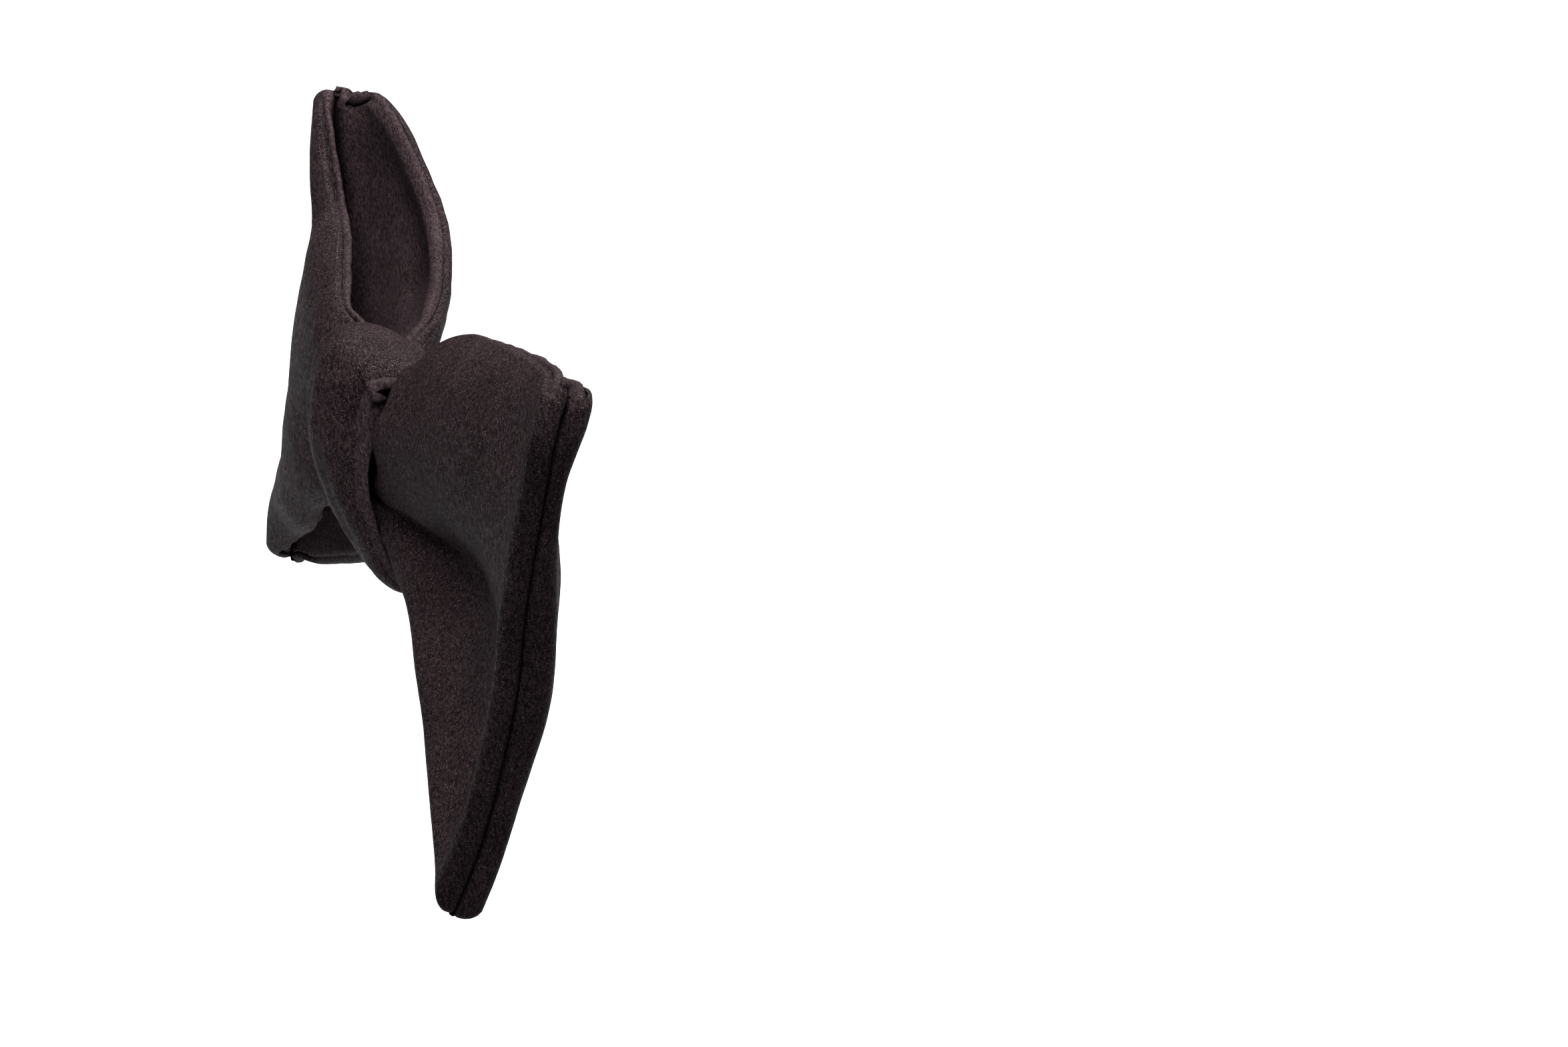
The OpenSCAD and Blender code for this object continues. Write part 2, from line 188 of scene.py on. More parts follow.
BACK = {
    -50: [
        (11, 29.9), (11.3, 24), (10.2, 15.5), (8.2, 8), (6.6, 0.5), (5.2, -8), (3.4, -17),
        (1.4, -26.4), (0.6, -34.3),
    ],
    -40: [
        (13.2, 25.3), (13.6, 19.4), (12, 12.6), (10.2, 6.5), (7.8, 0), (6.6, -7), (5.8, -15),
        (4, -23.4), (2.2, -30.3),
    ],
    -30: [
        (14, 19.2), (14.1, 14.8), (12.4, 9.6), (9, 4.8), (6.8, 0), (6.2, -6), (6.6, -13),
        (5.4, -20.4), (3.2, -26.1),
    ],
    -20: [
        (12, 15.4), (11.7, 12.4), (9.4, 8.6), (6.6, 4.4), (5.8, 0), (5.6, -5), (6.2, -11),
        (5, -16.9), (2.8, -21.5),
    ],
    -12: [
        (8.8, 13.4), (8.6, 11), (7, 7.8), (5.4, 4), (4.6, 0), (4.6, -4), (5, -8.5),
        (3.8, -12.2), (1.8, -14.6),
    ],
    -7: [
        (4.8, 12.2), (5.4, 10), (5, 7), (4.2, 3.5), (3.4, 0), (3.6, -3.5), (3.9, -7),
        (2.8, -9.8), (1.2, -11.4),
    ],
    0: [
        (3.6, 11.6), (4.4, 9.6), (4.4, 6.6), (3.8, 3.2), (3, 0), (3.2, -3.2), (3.6, -6.2),
        (2.8, -8.6), (1.4, -10.2),
    ],
    7: [
        (5.4, 12.4), (5.6, 10.2), (5, 7), (4.2, 3.5), (3.4, 0), (3.6, -3.5), (3.9, -7),
        (2.8, -9.8), (1.2, -11.4),
    ],
    12: [
        (8.4, 15.4), (8.2, 12.4), (7, 8.2), (5.4, 4), (4.8, 0), (4.8, -4), (5, -8.5),
        (3.8, -12.2), (1.6, -14.4),
    ],
    20: [
        (10.4, 18), (10.6, 15.2), (9.2, 9.8), (7, 4.6), (6.4, 0), (6.6, -5), (6.4, -11),
        (4.8, -16), (2.2, -19.4),
    ],
    30: [
        (11.2, 21.4), (11.7, 18), (10.7, 11.2), (8.6, 4.6), (7.3, -1), (6.9, -7), (5.9, -13),
        (3.5, -18.6), (1.2, -22.6),
    ],
    40: [
        (10.8, 23.8), (10.7, 20), (9.6, 12.6), (8.1, 5), (6.6, -2), (5.5, -9), (3.8, -16),
        (0.8, -22), (-1.9, -26.2),
    ],
    50: [
        (11.3, 26.9), (10.4, 21.8), (8, 14.2), (7.2, 6), (5.9, -2), (4.6, -10), (2.2, -18),
        (-1, -24.6), (-4.1, -30.2),
    ],
}
# Where the two plies meet in the groove at each end, (y, z) from the top to the bottom
GROOVE = {
    -1: [
        (7.4, 29.6), (7.0, 25.4), (6.5, 18.5), (6.3, 11.5), (4.9, 4.5), (3.4, -3.5), (2.0, -12.0), (0.9, -20.5),
        (-0.6, -28.5), (-1.6, -36.0),
    ],
    1: [
        (8.7, 28.0), (7.2, 22.6), (6.4, 18.4), (6.0, 15.2), (4.8, 8.5), (3.6, 2.0), (2.4, -6.3), (0.1, -15.7),
        (-2.7, -25.2), (-5.7, -32.4),
    ],
}
# How much fuller the back ply's end roll is on the near wing, at heights from 0 at the top to 1 at the bottom
END_FULLNESS = [
    (0, -0.3), (0.05, 0.1), (0.11, -0.3), (0.17, -0.9), (0.24, -0.9), (0.33, -0.2), (0.42, 0.5), (0.55, 0.8),
    (0.64, 0.7), (0.72, 0.2), (0.8, -0.1), (1, 0.2),
]

# How a ply's skin rounds its end, from the seam in the groove out to the face: millimetres in from the end,
# and the share of the ply's thickness out from its hollow side
END_ROLL = [
    (1.1, 0.0), (0.7, 0.03), (0.36, 0.08), (0.13, 0.16), (0.02, 0.27), (0.0, 0.4), (0.03, 0.54), (0.12, 0.67),
    (0.32, 0.79), (0.65, 0.89), (1.1, 0.955), (1.7, 0.99),
]
GROOVE_DEPTH = END_ROLL[0][0]
DRAWN_BY = 1.2                 # this far over the top edge the lining has drawn in to the groove's depth
WADDING_END = [(1.2, 0.3), (1.25, 0.5), (1.4, 0.7), (1.7, 0.85), (2.2, 0.96)]

LINE_POINTS = 18
STEP_ALONG, STEP_DOWN = 0.3, 0.004     # for slopes: millimetres along, and a share of the height


def even_line(line):
    """A smooth line through (y, z) points, evenly stepped along its length, and its unit sideways ways."""
    line = np.array(line, float)
    run = np.concatenate([[0], np.cumsum(np.linalg.norm(np.diff(line, axis=0), axis=1))])
    fine = np.linspace(0, run[-1], 400)
    curve = np.stack([hermite(run, line[:, k], fine) for k in (0, 1)], -1)
    run = np.concatenate([[0], np.cumsum(np.linalg.norm(np.diff(curve, axis=0), axis=1))])
    at = np.linspace(0, run[-1], LINE_POINTS)
    even = np.stack([np.interp(at, run, curve[:, k]) for k in (0, 1)], -1)
    down = np.gradient(even, axis=0)
    side = np.stack([-down[:, 1], down[:, 0]], -1)
    return even, side / np.linalg.norm(side, axis=1, keepdims=True)


class Ply:
    """One padded ply: a middle surface, and the grid of columns and rows that its pieces are cut from."""

    def __init__(self, table, out, r, fullness=((0, 0), (1, 0)), col_step=0.8):
        self.out = out                       # -1 if the ply's satin faces -Y, 1 if it faces +Y
        self.r = r
        self.fullness = fullness
        table = {k: even_line(line)[0] for k, line in table.items()}
        for end in (-1, 1):
            table[end * HALF_W], table[end * SEWN_FROM] = self.end_lines(end)
        self.stations = np.array(sorted(table), float)
        self.table = np.array([table[k] for k in sorted(table)])
        first = END_ROLL[-1][0] + col_step
        self.inner = np.arange(-HALF_W + first, HALF_W - first + col_step / 2, col_step)

    def end_lines(self, end):
        """The middle lines at one end, and where the plies part: the line in which the hollow sides meet,
        moved out by half the ply's thickness. Going in from the groove that line follows the front ply."""
        groove, _ = even_line(GROOVE[end])
        inside, across = even_line(FRONT[50 * end])
        inside = inside + across * FRONT_R
        parting = groove + (inside - groove) * (HALF_W - SEWN_FROM) / (HALF_W - 50)
        out = self.out * (self.r + SEAM_SLACK)
        return tuple(line + even_line(line)[1] * out for line in (groove, parting))

    def columns(self, kind):
        """Places along the bow, and how far through the thickness the skin lies: -1 hollow side, 1 face."""
        d, share = np.array(WADDING_END if kind == "wadding" else END_ROLL).T
        along = np.concatenate([d - HALF_W, self.inner, (HALF_W - d)[::-1]])
        level = np.concatenate([share, np.ones(len(self.inner)), share[::-1]]) * 2 - 1
        return along, level

    def end_x(self, v):
        """How far out the wing's end reaches at the height v, from 0 at the top to 1 at the bottom."""
        reach = HALF_W - END_BOWED + END_BOWED * (2 * v - 1) ** 2
        from_edge = np.minimum(v, 1 - v) * CORNERS_APART
        cut = CORNER_R - np.sqrt(np.maximum(CORNER_R**2 - np.maximum(CORNER_R - from_edge, 0) ** 2, 0))
        return reach - cut

    def middle(self, along, v):
        """Points of the middle surface, for arrays of places along the bow and of heights v."""
        x = along / HALF_W * self.end_x(v)
        knots = np.linspace(0, 1, self.table.shape[1])
        lines = []
        for axis in (0, 1):
            rows = self.table[:, :, axis].T                       # heights by stations
            per_station = np.stack(
                [hermite(knots, rows[:, s], v) for s in range(len(self.stations))]
            )
            lines.append(hermite(self.stations, per_station, along))
        return np.stack([x, lines[0], lines[1]], -1)

    def lengths(self, along):
        """Length of each column's middle line from its top edge to its bottom edge."""
        v = np.linspace(0, 1, 60)
        p = self.middle(np.repeat(along[:, None], 60, 1), np.repeat(v[None], len(along), 0))
        return np.linalg.norm(np.diff(p, axis=1), axis=2).sum(1)

    def radius(self, along):
        """Half the thickness: the knot squeezes the middle."""
        return self.r * (1 - KNOT_SQUEEZE * (1 - ease((np.abs(along) - 2) / 10)))

    def grid(self, along, v):
        """Middle points, unit normals, which point to the satin side, and ways down, for a grid of places."""
        p = self.middle(along, v)
        above, below = np.clip(v - STEP_DOWN, 0, 1), np.clip(v + STEP_DOWN, 0, 1)
        dv = self.middle(along, below) - self.middle(along, above)
        down = dv / np.linalg.norm(dv, axis=-1, keepdims=True)
        ahead, behind = (np.clip(along + step, -HALF_W, HALF_W) for step in (STEP_ALONG, -STEP_ALONG))
        du = self.middle(ahead, v) - self.middle(behind, v)
        n = np.cross(du, dv)
        n /= np.linalg.norm(n, axis=-1, keepdims=True)
        n *= np.sign(n[..., 1:2] * self.out + 1e-12)
        return p, n, down

    def surface(self, rows, columns, inset=0.0, margin=0.0):
        """The ply's skin: a grid of columns by rows. A row is placed by its arc from the top edge or from the
        bottom edge, while that is under a quarter turn, and otherwise by its share of the way between."""
        arc_top, arc_bottom, share, side = rows
        at, level = self.columns(columns)
        r = self.radius(at)[:, None]
        length = self.lengths(at)[:, None]
        quarter = r * math.pi / 2

        def depth(arc):
            turned = r * (1 - np.cos(np.minimum(arc, quarter) / r))
            return np.where(arc < quarter, turned, r + arc - quarter)

        top = depth(np.where(np.isnan(arc_top), 0, arc_top)[None])
        bottom = length - depth(np.where(np.isnan(arc_bottom), 0, arc_bottom)[None])
        between = r + np.where(np.isnan(share), 0, share)[None] * (length - 2 * r)
        place = np.where(~np.isnan(arc_bottom)[None], bottom, between)
        place = np.where(~np.isnan(arc_top)[None], top, place)
        place = np.clip(place, margin, length - margin)
        v = np.clip(place / length, 0, 1)
        along = np.repeat(at[:, None], len(side), 1)
        if columns == "lining":
            # past the top edge the lining draws in from the end, to where the groove begins
            ends = len(END_ROLL)
            drawn = at.copy()
            drawn[:ends] = np.linspace(GROOVE_DEPTH, END_ROLL[-1][0], ends) - HALF_W
            drawn[-ends:] = -drawn[:ends][::-1]
            past_top = np.where(np.isnan(arc_top), DRAWN_BY, arc_top)
            over = np.where(side < 0, ease(past_top / DRAWN_BY), 0)[None]
            along = along * (1 - over) + drawn[:, None] * over
        p, n, down = self.grid(along, v)
        from_edge = np.minimum(place, length - place)
        round_edge = np.sqrt(np.maximum(1 - np.maximum(1 - from_edge / r, 0) ** 2, 0))
        pressed = ease(1 - (HALF_W - np.abs(at[:, None])) / SQUARED_OVER) * (side[None] < 0)
        round_edge = round_edge ** (1 - SQUARED * pressed)
        middle = (level[:, None] - 1) / 2 * r
        heights, fullness = np.array(self.fullness).T
        towards_end = ease((at[:, None] - FULLER_FROM) / (FULLEST_AT - FULLER_FROM))
        swell = hermite(heights, fullness, v) * towards_end * (side[None] > 0)
        half = (level[:, None] + 1) / 2 * (r + swell)
        offset = middle + side[None] * np.maximum(half * round_edge - inset, 0)
        turn = np.fmin(np.where(np.isnan(arc_top), arc_bottom, arc_top)[None] / r, math.pi / 2)
        towards_edge = np.where(np.isnan(arc_top), 1.0, -1.0)[None, :, None] * down
        outward = n * (side * np.sin(turn))[..., None] + towards_edge * np.cos(turn)[..., None]
        return along, v, p, n, offset, outward


def rows_of(parts):
    """Arrays that place rows: by arc from the top edge or the bottom edge, or by share; and their sides."""
    top, bottom, share, side = [], [], [], []
    for kind, values, s in parts:
        for value in values:
            top.append(value if kind == "top" else np.nan)
            bottom.append(value if kind == "bottom" else np.nan)
            share.append(value if kind == "share" else np.nan)
            side.append(s)
    return np.array(top), np.array(bottom), np.array(share), np.array(side, float)


# Rows of the grid: round an edge, by arc, and down a side, by share of the way
QUARTER = BACK_R * math.pi / 2
ROLL = list(np.linspace(0.2, 0.92, 6) * QUARTER)
MOST = list(np.linspace(0.045, 0.955, 84))
# Where the seams lie, round from the front ply's top edge, the back ply's and both plies' bottom edge:
# below zero on the hollow side
TOP_SEAM_AT, BACK_SEAM_AT, BOTTOM_SEAM_AT = 0.45, 1.1, -0.55
# Rows beside a seam lie this far from it, and rows across the edge at these shares of the way there
FROM_SEAM = (0.0, 0.06, 0.14, 0.25, 0.38, 0.52, 0.68, 0.88, 1.15, 1.5)
TO_SEAM = (0.0, 0.3, 0.6, 0.76, 0.9, 1.0)


def satin_rows(top_seam):
    """Rows of a satin panel, from its top seam down the face and round the bottom edge to the bottom seam."""
    wrap = [-BOTTOM_SEAM_AT * k for k in TO_SEAM]
    return rows_of([
        ("top", [top_seam + k for k in FROM_SEAM], 1), ("share", MOST, 1),
        ("bottom", ROLL[::-1], 1), ("bottom", wrap, -1),
    ])


def lining_rows(top_seam):
    """Rows of a lining panel, from its top seam over the top edge and down the hollow side to the foot."""
    wrap = [top_seam * k for k in TO_SEAM[::-1]]
    past_edge = ROLL
    if top_seam == TOP_SEAM_AT:
        past_edge = [k - top_seam for k in FROM_SEAM if k > top_seam + FROM_SEAM[1]]
    foot = [k - BOTTOM_SEAM_AT for k in FROM_SEAM]
    return rows_of([
        ("top", wrap, 1), ("top", past_edge, -1), ("share", MOST, -1), ("bottom", foot[::-1], -1),
    ])


FILL = list(np.linspace(0, 1, 44))
WADDING_ROWS = rows_of([
    ("top", ROLL[::-1], -1), ("top", [0.0], 1), ("top", ROLL, 1), ("share", FILL, 1),
    ("bottom", ROLL[::-1], 1), ("bottom", [0.0], 1), ("bottom", ROLL, -1), ("share", FILL[::-1], -1),
])

# ---------------------------------------------------------------- meshes


def to_frame(points):
    """Millimetres around the knot's middle to metres in the frame."""
    return (np.asarray(points) + (0, -KNOT_TO_COLLAR, 0)) * MM


def make_object(name, points, faces, body="bow"):
    """A mesh from points in millimetres, smooth shaded, that rides on a body, or on none if body is None."""
    mesh = bpy.data.meshes.new(name)
    mesh.from_pydata([tuple(p) for p in to_frame(points)], [], faces)
    mesh.validate()
    mesh.polygons.foreach_set("use_smooth", [True] * len(mesh.polygons))
    mesh.update()
    obj = bpy.data.objects.new(name, mesh)
    bpy.context.scene.collection.objects.link(obj)
    if body:
        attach(obj, body)
    return obj


def grid_faces(nu, nv, wrap_u=False, wrap_v=False, start=0):
    """Quads of a grid of nu by nv points, closed round either way if asked."""
    faces = []
    for i in range(nu if wrap_u else nu - 1):
        for j in range(nv if wrap_v else nv - 1):
            a, b = i * nv + j, ((i + 1) % nu) * nv + j
            c, d = ((i + 1) % nu) * nv + (j + 1) % nv, i * nv + (j + 1) % nv
            faces.append(tuple(start + k for k in (a, b, c, d)))
    return faces


def apply_modifiers(obj):
    """Keeps the modifiers' result as the object's own mesh."""
    graph = bpy.context.evaluated_depsgraph_get()
    mesh = bpy.data.meshes.new_from_object(obj.evaluated_get(graph), depsgraph=graph)
    old = obj.data
    obj.modifiers.clear()
    obj.data = mesh
    bpy.data.meshes.remove(old)
    mesh.polygons.foreach_set("use_smooth", [True] * len(mesh.polygons))
    return obj


def thicken(obj, thickness):
    """Makes a sheet a closed shell, this many millimetres thick inwards."""
    m = obj.modifiers.new("cloth", "SOLIDIFY")
    m.thickness = thickness * MM
    m.offset = -1
    m.use_even_offset = False
    return apply_modifiers(obj)


def face_outwards(points, faces, outward):
    """Turns the faces over if they look the other way from the outward directions at their first points."""
    f = np.array(faces[len(faces) // 2])
    a, b, c = (points[k] for k in f[:3])
    if np.dot(np.cross(b - a, c - a), outward[f[0]]) < 0:
        return [face[::-1] for face in faces]
    return faces


# The gap at the near wing's top corner: its height from the top, its spread and its depth
EAR_V, EAR_SPREAD, EAR_GAP = 0.04, 0.02, 0.3
NO_SEAM = 99.0                 # stands for a seam too far away to matter
FLAT_ENDS = 3.0                # the cloth lies smooth over this far in from an end


def panel(name, ply, rows, columns, shape, seams):
    """A panel of a ply, shaped by shape(along, v, points, past, side), in millimetres out from its own side.
    seams tells how far round from the ply's top and bottom edges its seams lie: below zero on the hollow side.
    past is the way round from the nearer seam."""
    top, bottom, _, side = rows
    along, v, p, n, offset, outward = ply.surface(rows, columns)
    past_top = np.where(np.isnan(top), NO_SEAM, np.abs(top * side - seams[0]))
    past_bottom = np.where(np.isnan(bottom), NO_SEAM, np.abs(bottom * side - seams[1]))
    lift = shape(along, v, p, np.minimum(past_top, past_bottom)[None], side[None])
    fade = ease((HALF_W - np.abs(along) - GROOVE_DEPTH) / FLAT_ENDS)
    if columns == "satin":
        # the groove gapes under the near wing's top corner, where the turned-in cloth is bunched
        hollow = bell(v, EAR_V, EAR_SPREAD) * (along > 0) * np.clip(-ply.columns(columns)[1][:, None], 0, 1)
        offset = offset + EAR_GAP * hollow
    flat = (p + n * offset[..., None] + outward * (lift * fade)[..., None]).reshape(-1, 3)
    faces = face_outwards(flat, grid_faces(*along.shape), (n * side[None, :, None]).reshape(-1, 3))
    return thicken(make_object(name, flat, faces), SATIN_T)


def pleats(along, v, reach, count, phase):
    """Small folds that fan out from the knot and die away along the wing."""
    a = np.maximum(np.abs(along) - KNOT_HALF, 0)
    return np.exp(-a / reach) * np.cos(2 * math.pi * count * v + phase + 0.6 * np.sin(5 * v))


SEAM_SUNK, SEAM_WIDTH = 0.6, 0.28
LIP_AT, LIP_WIDTH = 0.8, 0.4           # the puckered lip's way round from its seam
PLEAT_REACH, PLEAT_COUNT = 7, 4.5
UNEVEN = ((0.10, 11), (0.03, 4))       # heights and sizes of the cloth's soft unevenness


def side_shape(seed, fold, ridge=0.0):
    """Folds at the knot, fold high, the sunk seam, a puckered lip beside it, ridge high, and unevenness."""
    def shape(along, v, p, past, side):
        pucker = 1 + 0.4 * ripple(p, 3.2, seed)
        lift = -SEAM_SUNK * bell(past, 0, SEAM_WIDTH)
        lift = lift + ridge * bell(past, LIP_AT, LIP_WIDTH) * pucker
        for k, (height, size) in enumerate(UNEVEN):
            lift = lift + height * ripple(p, size, seed + k)
        return lift + fold * pleats(along, v, PLEAT_REACH, PLEAT_COUNT, seed)
    return shape


front_ply = Ply(FRONT, -1, FRONT_R)
back_ply = Ply(BACK, 1, BACK_R, END_FULLNESS)

FRONT_SEAMS = (TOP_SEAM_AT, BOTTOM_SEAM_AT)
BACK_SEAMS = (BACK_SEAM_AT, BOTTOM_SEAM_AT)
front_outer = panel(
    "front_satin_panel", front_ply, satin_rows(TOP_SEAM_AT), "satin", side_shape(1, 0.35), FRONT_SEAMS,
)
front_inner = panel(
    "front_lining_panel", front_ply, lining_rows(TOP_SEAM_AT), "lining", side_shape(2, 0.3, 0.4), FRONT_SEAMS,
)
back_outer = panel(
    "back_satin_panel", back_ply, satin_rows(BACK_SEAM_AT), "satin", side_shape(3, 0.35), BACK_SEAMS,
)
back_inner = panel(
    "back_lining_panel", back_ply, lining_rows(BACK_SEAM_AT), "lining", side_shape(4, 0.3, 0.1), BACK_SEAMS,
)


WADDING_INSET = SATIN_T + 0.35
WADDING_MARGIN = 1.3                   # from the ply's top and bottom edges


def wadding(name, ply):
    """The padding: a closed pillow just inside the satin."""
    side = WADDING_ROWS[3]
    _, _, p, n, offset, _ = ply.surface(WADDING_ROWS, "wadding", inset=WADDING_INSET, margin=WADDING_MARGIN)
    points = p + n * offset[..., None]
    nu, nv = points.shape[:2]
    flat = points.reshape(-1, 3)
    faces = face_outwards(flat, grid_faces(nu, nv, wrap_v=True), (n * side[None, :, None]).reshape(-1, 3))
    for j in range(len(ROLL), len(ROLL) + nv // 2):
        # the loop of rows is symmetrical about its top edge, so each end is capped by quads across it
        here, there = (j, (j + 1) % nv), ((2 * len(ROLL) - j - 1) % nv, (2 * len(ROLL) - j) % nv)
        if there[0] != here[1]:
            faces.append((*here, *there))
            faces.append(tuple((nu - 1) * nv + k for k in (*here, *there))[::-1])
    return make_object(name, flat, faces)


front_wad = wadding("front_padding", front_ply)
back_wad = wadding("back_padding", back_ply)

# ---------------------------------------------------------------- the knot

# Outline of the wrap in the YZ plane through the knot's middle, from the front round over the top,
# and how much deeper the wrap's side edges lie than its middle there
KNOT_LOOP = [
    (-8.9, 3.7, 3.6), (-8.6, 9.5, 5.0), (-7.4, 14.0, 5.2), (-5.0, 16.6, 4.2), (-1.5, 16.8, 3.0),
    (2.5, 15.0, 1.4), (6.0, 12.2, 1.0), (8.1, 8.5, 0.7), (8.6, 3.0, 0.5), (8.5, -3.0, 0.5),
    (7.9, -8.0, 0.7), (5.8, -12.6, 1.0), (1.5, -15.9, 1.2), (-1.8, -14.6, 1.2), (-4.6, -10.2, 1.3),
    (-7.2, -3.8, 1.9),
]
LOOP_STEPS = 150
BAND_STEPS = 44
WRAP_EDGE_R = 0.9                      # of the turned-in edges
CROWN_POWER = 2.2                      # how much of the wrap's fall to its side edges lies near them
LINES_PER_MM, LINES_HIGH = 1.7, 0.10   # drawn lines round the wrap, in radians across it
SOFT = ((0.12, 9), (0.05, 4))          # heights and sizes of its unevenness
SOFT_SEEDS_APART = 5


def knot_loop(steps):
    """Points and outward normals of the wrap's outline, evenly stepped, and the depth of its side edges."""
    pts = np.array(KNOT_LOOP + KNOT_LOOP[:3], float)
    t = np.linspace(1, len(KNOT_LOOP) + 1, steps, endpoint=False)
    curve = np.stack([hermite(np.arange(len(pts)), pts[:, k], t) for k in (0, 1)], -1)
    edge_depth = hermite(np.arange(len(pts)), pts[:, 2], t)
    ahead = np.roll(curve, -1, 0) - np.roll(curve, 1, 0)
    n = np.stack([-ahead[:, 1], ahead[:, 0]], -1)
    n /= np.linalg.norm(n, axis=1, keepdims=True)
    return curve, n, edge_depth


def wrap(name, half_width, inset, thickness, seed, shift=0.0):
    """One layer of the knot's wrap: a closed band that bulges in the middle, with its edges turned in."""
    curve, n, edge_depth = knot_loop(LOOP_STEPS)
    across = np.linspace(-1, 1, BAND_STEPS)
    across = np.sign(across) * np.sin(np.abs(across) * math.pi / 2) ** 0.8
    x = across * half_width + shift
    crown = edge_depth[:, None] * np.abs(across[None]) ** CROWN_POWER
    from_edge = (1 - np.abs(across)) * half_width
    turned = np.maximum(WRAP_EDGE_R - from_edge, 0)
    turn_in = WRAP_EDGE_R - np.sqrt(np.maximum(WRAP_EDGE_R**2 - turned**2, 0))
    depth = inset + crown + turn_in[None]
    yz = curve[:, None] - n[:, None] * depth[..., None]
    points = np.concatenate([np.broadcast_to(x[None, :, None], yz.shape[:2] + (1,)), yz], -1)
    waver = 0.7 * np.sin(points[..., 2] * 0.25)
    soft = LINES_HIGH * np.sin(points[..., 0] * LINES_PER_MM + waver + seed)
    for k, (height, size) in enumerate(SOFT):
        soft = soft + height * ripple(points, size, seed + k * SOFT_SEEDS_APART)
    points[..., 1:] += n[:, None] * soft[..., None]
    flat = points.reshape(-1, 3)
    outward = np.concatenate([np.zeros((LOOP_STEPS, 1)), n], -1)
    outward = np.repeat(outward[:, None], BAND_STEPS, 1).reshape(-1, 3)
    faces = face_outwards(flat, grid_faces(LOOP_STEPS, BAND_STEPS, wrap_u=True), outward)
    return thicken(make_object(name, flat, faces), thickness)


knot_band = wrap("knot_wrap", KNOT_HALF, inset=0.0, thickness=0.45, seed=11)
knot_stiffener = wrap("knot_stiffener", KNOT_HALF - 2.0, inset=0.75, thickness=0.3, seed=11)
knot_under = wrap("knot_inner_wrap", KNOT_HALF + 0.55, inset=1.1, thickness=0.4, seed=12, shift=0.35)

# ---------------------------------------------------------------- threads and springs


def tubes(name, paths, radius, sides=6, closed=False, body="bow"):
    """Lengths of thread or wire along the paths, as one mesh."""
    points, faces = [], []
    for path in paths:
        path = np.asarray(path, float)
        ahead = np.roll(path, -1, 0) - np.roll(path, 1, 0)
        if not closed:
            ahead[0], ahead[-1] = path[1] - path[0], path[-1] - path[-2]
        ahead /= np.linalg.norm(ahead, axis=1, keepdims=True)
        side = np.cross(ahead[0], (0.31, 0.23, 0.92))
        start, count = len(points), len(path)
        for p, d in zip(path, ahead):
            side = side - d * (side @ d)
            side /= np.linalg.norm(side)
            other = np.cross(d, side)
            for k in range(sides):
                turn = 2 * math.pi * k / sides
                points.append(p + radius * (math.cos(turn) * side + math.sin(turn) * other))
        faces += grid_faces(count, sides, wrap_u=closed, wrap_v=True, start=start)
        if not closed:
            faces.append(tuple(start + k for k in range(sides)))
            faces.append(tuple(start + (count - 1) * sides + k for k in range(sides))[::-1])
    return make_object(name, points, [face[::-1] for face in faces], body)


def resampled(line, pitch):
    """Points evenly pitched along a line."""
    run = np.concatenate([[0], np.cumsum(np.linalg.norm(np.diff(line, axis=0), axis=1))])
    at = np.arange(pitch, run[-1] - pitch / 2, pitch)
    return np.stack([np.interp(at, run, line[:, k]) for k in range(3)], -1)


STITCH_PITCH = 2.4
STITCH_LENGTH = 1.5
STITCH_RISE = 0.24
STITCH_POINTS = 7
FINE_PITCH = 0.1                       # of the points that the stitches start and end on
THREAD_R = 0.11


def stitches_on(line, out, sunk):
    """One stitch after another along a line, each dipping into the cloth at its ends. out points off it."""
    paths = []
    fine = resampled(line, FINE_PITCH)
    at_fine, at_out = np.linspace(0, 1, len(fine)), np.linspace(0, 1, len(out))
    way = np.stack([np.interp(at_fine, at_out, out[:, k]) for k in range(3)], -1)
    step, span = round(STITCH_PITCH / FINE_PITCH), round(STITCH_LENGTH / FINE_PITCH)
    for i in range(0, len(fine) - span, step):
        at = np.linspace(i, i + span, STITCH_POINTS).astype(int)
        rise = np.sin(np.linspace(0, math.pi, STITCH_POINTS)) * STITCH_RISE - sunk
        paths.append(fine[at] + way[at] * rise[:, None])
    return paths


END_COLUMNS = 16                       # left without stitches at each end of a seam
PLY_THREAD_SUNK, END_THREAD_SUNK = SEAM_SUNK + 0.2, 0.3


def ply_thread(name, ply, seams):
    """The machine stitches in a ply's two seams."""
    paths = []
    for edge, seam in zip(("top", "bottom"), seams):
        _, _, p, n, offset, outward = ply.surface(rows_of([(edge, [abs(seam)], np.sign(seam))]), "lining")
        line = (p + n * offset[..., None])[END_COLUMNS:-END_COLUMNS, 0]
        paths += stitches_on(line, outward[END_COLUMNS:-END_COLUMNS, 0], PLY_THREAD_SUNK)
    return tubes(name, paths, THREAD_R)


front_thread = ply_thread("front_ply_stitches", front_ply, FRONT_SEAMS)
back_thread = ply_thread("back_ply_stitches", back_ply, BACK_SEAMS)


def end_seam(name, end):
    """The stitches deep in an end's groove, which hold the two plies together there."""
    rows = rows_of([("share", list(np.linspace(0.05, 0.95, 60)), -1)])
    _, _, p, n, offset, _ = front_ply.surface(rows, "lining")
    k = -1 if end > 0 else 0
    line = (p + n * offset[..., None])[k]
    out = np.zeros_like(line)
    out[:, 0] = end
    return tubes(name, stitches_on(line, out, END_THREAD_SUNK), THREAD_R)


left_seam = end_seam("left_end_stitches", 1)
right_seam = end_seam("right_end_stitches", -1)

